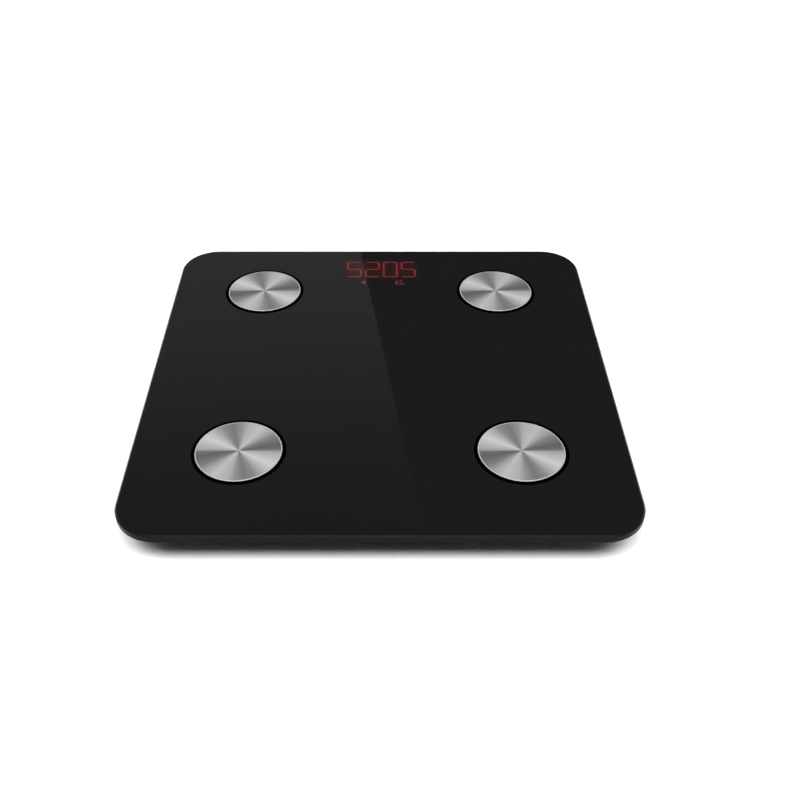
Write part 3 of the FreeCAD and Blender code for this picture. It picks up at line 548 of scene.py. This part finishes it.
def smoked_material():
    """A dark film that dims what lies behind it."""
    material, nodes, links, shader = new_material("smoked_window")
    tint = texture(nodes, links, "ShaderNodeTexNoise", Scale=25.0, Detail=2.0)
    links.new(ramp(nodes, links, tint.outputs["Fac"], [(0.3, (0.0010, 0.0007, 0.0007)),
                                                        (0.7, (0.0014, 0.0010, 0.0010))]),
              shader.inputs["Base Color"])
    shader.inputs["Roughness"].default_value = 0.25
    shader.inputs["Alpha"].default_value = 0.35
    shader.inputs["Specular IOR Level"].default_value = 0.0
    return material


def electrode_material(name):
    """Steel spun round its middle; the bright and dark sectors that its reflections make are painted
    into its colour, fixed to the disc.
    """
    material, nodes, links, shader = new_material(f"spun_steel_painted_reflection_{name}")
    centre = electrode_centre(name)
    split = nodes.new("ShaderNodeSeparateXYZ")
    links.new(nodes.new("ShaderNodeTexCoord").outputs["Object"], split.inputs[0])
    across = calculate(nodes, links, "SUBTRACT", split.outputs["X"], centre[0])
    along = calculate(nodes, links, "SUBTRACT", split.outputs["Y"], centre[1])

    angle = calculate(nodes, links, "ARCTAN2", along, across)
    half_turns = calculate(nodes, links, "DIVIDE", angle, math.pi)
    share = calculate(nodes, links, "FRACT", half_turns)
    # Painted reflection: the sectors' greys go into the base colour.
    painted_reflection = ramp(nodes, links, share,
                   [(place, (STEEL_LEVEL * grey,) * 3) for place, grey in PAINTED_REFLECTION_SECTORS])

    flat = nodes.new("ShaderNodeCombineXYZ")
    links.new(across, flat.inputs["X"])
    links.new(along, flat.inputs["Y"])
    distance = nodes.new("ShaderNodeVectorMath")
    distance.operation = "LENGTH"
    links.new(flat.outputs[0], distance.inputs[0])
    rings = nodes.new("ShaderNodeCombineXYZ")
    links.new(distance.outputs["Value"], rings.inputs["X"])
    groove = texture(nodes, links, "ShaderNodeTexNoise", rings.outputs[0], Scale=2600.0, Detail=3.0,
                     Roughness=0.7)
    grooves = ramp(nodes, links, groove.outputs["Fac"], [(0.3, (0.90, 0.90, 0.90)),
                                                         (0.7, (1.0, 1.0, 1.0))])
    mix = nodes.new("ShaderNodeMix")
    mix.data_type = "RGBA"
    mix.blend_type = "MULTIPLY"
    mix.inputs["Factor"].default_value = 1.0
    links.new(painted_reflection, mix.inputs["A"])
    links.new(grooves, mix.inputs["B"])
    links.new(mix.outputs["Result"], shader.inputs["Base Color"])
    shader.inputs["Metallic"].default_value = 0.5
    shader.inputs["Roughness"].default_value = 0.38
    add_bump(nodes, links, shader, groove.outputs["Fac"], 0.003 * MM)
    return material


def lit_material(name, colour, glow, strength):
    """A display segment that shines, a little unevenly."""
    material, nodes, links, shader = new_material(name)
    spread = texture(nodes, links, "ShaderNodeTexNoise", Scale=180.0, Detail=2.0)
    links.new(ramp(nodes, links, spread.outputs["Fac"], [(0.3, shade(glow, 0.8)), (0.7, glow)]),
              shader.inputs["Emission Color"])
    shader.inputs["Emission Strength"].default_value = strength
    shader.inputs["Base Color"].default_value = (*colour, 1)
    shader.inputs["Roughness"].default_value = 0.5
    shader.inputs["Specular IOR Level"].default_value = 0.1
    return material


def fade_outside(nodes, links, offset, half, reach):
    """One near a middle, falling to nothing about a half width from it."""
    away = calculate(nodes, links, "ABSOLUTE", offset)
    return map_range(nodes, links, away, (half - reach, half + reach), (1, 0), smooth=True)


def display_material():
    """Black plastic with a little red light spilt round the digits, most between neighbours."""
    low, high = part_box("display_digits")
    material, nodes, links, shader = new_material("display_black")
    split = nodes.new("ShaderNodeSeparateXYZ")
    links.new(nodes.new("ShaderNodeTexCoord").outputs["Object"], split.inputs[0])
    across = calculate(nodes, links, "SUBTRACT", split.outputs["X"], (low[0] + high[0]) / 2)
    along = calculate(nodes, links, "SUBTRACT", split.outputs["Y"], (low[1] + high[1]) / 2)
    turns = calculate(nodes, links, "MULTIPLY", across, 2 * math.pi / DIGIT_PITCH)
    wave = calculate(nodes, links, "COSINE", turns)
    ripple = map_range(nodes, links, wave, (-1, 1), (0.05, 0.16))
    columns = fade_outside(nodes, links, across, (high[0] - low[0]) / 2, 4 * MM)
    rows = fade_outside(nodes, links, along, (high[1] - low[1]) / 2, 5 * MM)
    patch = calculate(nodes, links, "MULTIPLY", columns, rows)
    spill = calculate(nodes, links, "MULTIPLY", ripple, patch)
    links.new(spill, shader.inputs["Emission Strength"])
    shader.inputs["Emission Color"].default_value = (1.0, 0.01, 0.005, 1)
    grain = texture(nodes, links, "ShaderNodeTexNoise", Scale=400.0, Detail=3.0)
    links.new(ramp(nodes, links, grain.outputs["Fac"], PRINT_BLACK), shader.inputs["Base Color"])
    shader.inputs["Roughness"].default_value = 0.6
    shader.inputs["Specular IOR Level"].default_value = 0.05
    return material


def make_electrodes():
    """The four electrodes, and the black bead round each, which is a seal and also painted contact
    shadow.
    """
    # Painted shadow: the seal's near-black colour without shine stands for the contact shadow round
    # each disc as well as for the seal.
    seal_and_shadow = plain("black_seal_painted_shadow", (0.0004, 0.0004, 0.0004), 0.8, grain=1500, depth=0.01, level=0.0)
    # Painted highlight: the rim is a lighter, even copy of the steel, for the bright line round each
    # disc.
    rim_highlight = plain("rolled_rim_painted_highlight", (0.56, 0.56, 0.57), 0.45, grain=900, depth=0.01, metallic=0.5)
    for name in CORNERS:
        make_electrode(name, (electrode_material(name), seal_and_shadow, rim_highlight))
    # The CAD seal rings get the same seal colour with its painted shadow.
    give(seal_and_shadow, "electrode_seals")


def dress_nodes():
    """A material for every other CAD node that shows."""
    give(plain("backing_black", (0.006, 0.006, 0.006), 0.5, level=0.2), "backing_film")
    give(plain("tray_black", (0.020, 0.020, 0.021), 0.55, grain=2600, depth=0.05), "base_tray",
         "battery_door")
    give(plain("foot_black", (0.022, 0.022, 0.023), 0.5, grain=2600, depth=0.05),
         *[f"foot_cap_{name}" for name in CORNERS])
    give(plain("pad_rubber", (0.045, 0.045, 0.048), 0.85, grain=1800, depth=0.04, level=0.3),
         *[f"foot_pad_{name}" for name in CORNERS])
    give(plain("blank_label", (0.42, 0.43, 0.44), 0.35, grain=1200, depth=0.01, metallic=0.6),
         "rating_label")
    give(plain("cell_steel", (0.55, 0.56, 0.57), 0.35, grain=900, depth=0.01, metallic=1.0),
         *[f"load_cell_{name}" for name in CORNERS])
    give(plain("white_silicone", (0.80, 0.80, 0.78), 0.45, grain=300), "gauge_seals",
         "electrode_bushes")
    give(plain("black_foam", (0.03, 0.03, 0.03), 0.95, grain=3000, depth=0.15, level=0.2),
         "bonding_tape")
    give(plain("plated_steel", (0.60, 0.60, 0.62), 0.3, metallic=1.0), "electrode_nuts",
         "board_screws")
    give(plain("tinned_brass", (0.74, 0.70, 0.60), 0.35, metallic=1.0), "electrode_terminals")
    give(plain("nickel", (0.72, 0.70, 0.67), 0.22, metallic=1.0), "battery_contacts",
         "battery_springs", "radio_module")
    give(plain("battery_sleeve", (0.03, 0.10, 0.26), 0.3), "battery_cell_1", "battery_cell_2",
         "battery_cell_3")
    give(plain("solder_mask", (0.012, 0.10, 0.035), 0.3), "main_board")
    give(plain("chip_epoxy", (0.02, 0.02, 0.02), 0.6), "controller_chip", "board_parts",
         "unit_switch")
    give(plain("nylon", (0.78, 0.75, 0.66), 0.45), "wire_sockets")
    give(display_material(), "display_frame")
    # Painted glow: the unlit segments and point glow faintly red, though they give no light.
    give(lit_material("dark_segment_painted_glow", (0.002, 0.001, 0.001), (1.0, 0.05, 0.03), 0.02),
         "display_unlit_segments", "display_point")
    give(plain("button_grey", (0.18, 0.18, 0.19), 0.45, grain=2200, depth=0.04), "unit_button")
    give(plain("white_insulation", (0.72, 0.72, 0.70), 0.45), "electrode_wires")
    give(plain("grey_insulation", (0.28, 0.28, 0.29), 0.45), "load_cell_cables")
    give(plain("red_insulation", (0.45, 0.02, 0.02), 0.4), "battery_wire_red")
    give(plain("black_insulation", (0.015, 0.015, 0.015), 0.4), "battery_wire_black")
    give(lit_material("lit_red", (0.10, 0.004, 0.006), (1.0, 0.12, 0.16), 0.8),
         "display_digits")
    give(lit_material("dim_red", (0.06, 0.003, 0.004), (1.0, 0.15, 0.22), 0.75),
         "display_marks")


make_camera()
make_floor()
make_light()
make_card()
make_glass_plate((black_glass_material(), edge_material("ground_edge", 0.05), glass_material(),
                  ink_material("window_ink", 0.3), edge_material("polished_bevel", 0.15),
                  ink_material("solid_ink", 1.0)))
make_window_film(smoked_material())
make_electrodes()
dress_nodes()
